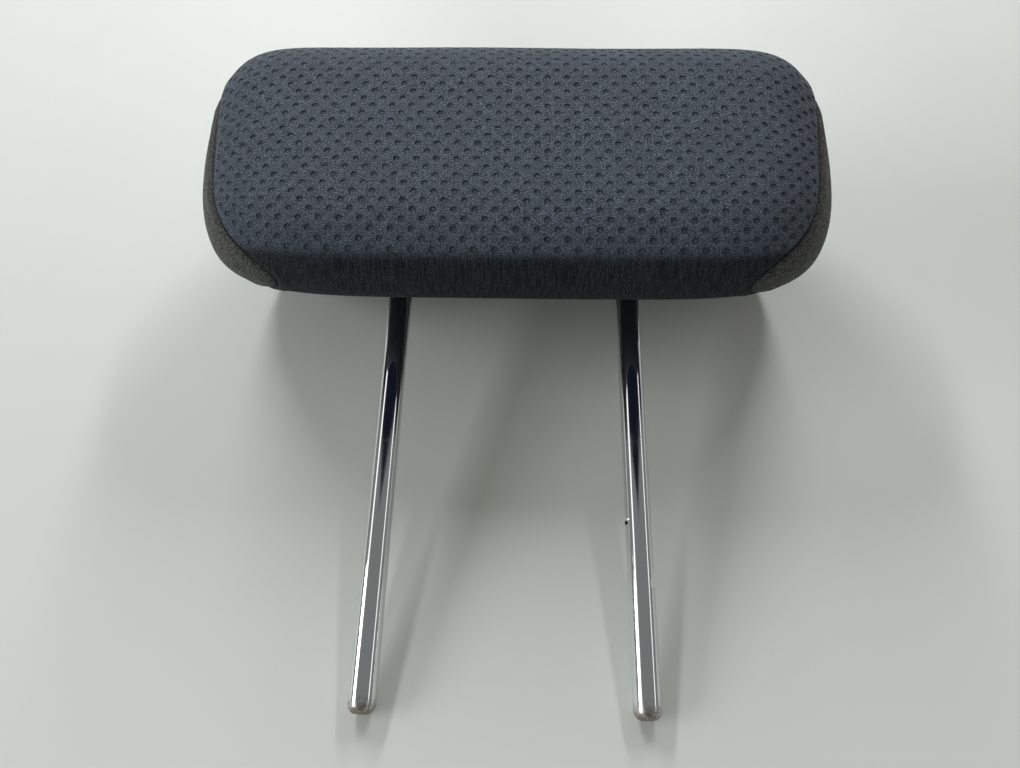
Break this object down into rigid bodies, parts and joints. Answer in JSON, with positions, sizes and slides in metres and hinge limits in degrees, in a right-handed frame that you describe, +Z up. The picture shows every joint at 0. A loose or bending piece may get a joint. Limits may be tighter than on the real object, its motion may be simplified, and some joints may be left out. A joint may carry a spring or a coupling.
{
  "type": "car headrest",
  "caption": "Padded car headrest with a dimpled leather front, plain side panels and a bent chrome stay whose posts slide into seat guides.",
  "frame": {"origin": "midway between the two post centres, level with the post tips", "axes": "+Z up along the posts towards the cushion, +X towards the right post, the front face looks towards -Y"},
  "size_m": [0.28, 0.0974, 0.288],
  "materials": {
    "chrome": "bright plated steel with light wear at the tips",
    "core_plastic": "moulded black plastic",
    "screw_steel": "zinc-plated steel",
    "foam": "moulded open-cell foam",
    "front_leather": "fine-grained blue-grey leather with debossed round dimples",
    "plain_leather": "grained charcoal leather",
    "trim_plastic": "satin black plastic"
  },
  "bodies": {
    "root": {"stay": "chrome", "core_front": "core_plastic", "core_rear": "core_plastic", "core_screw_1": "screw_steel", "core_screw_2": "screw_steel", "core_screw_3": "screw_steel", "core_screw_4": "screw_steel", "foam_pad": "foam", "front_cover_panel": "front_leather", "rear_cover_panel": "plain_leather", "left_cover_panel": "plain_leather", "right_cover_panel": "plain_leather", "front_closure_strip": "trim_plastic", "rear_closure_strip": "trim_plastic", "left_post_grommet": "trim_plastic", "right_post_grommet": "trim_plastic"}
  },
  "joints": []
}
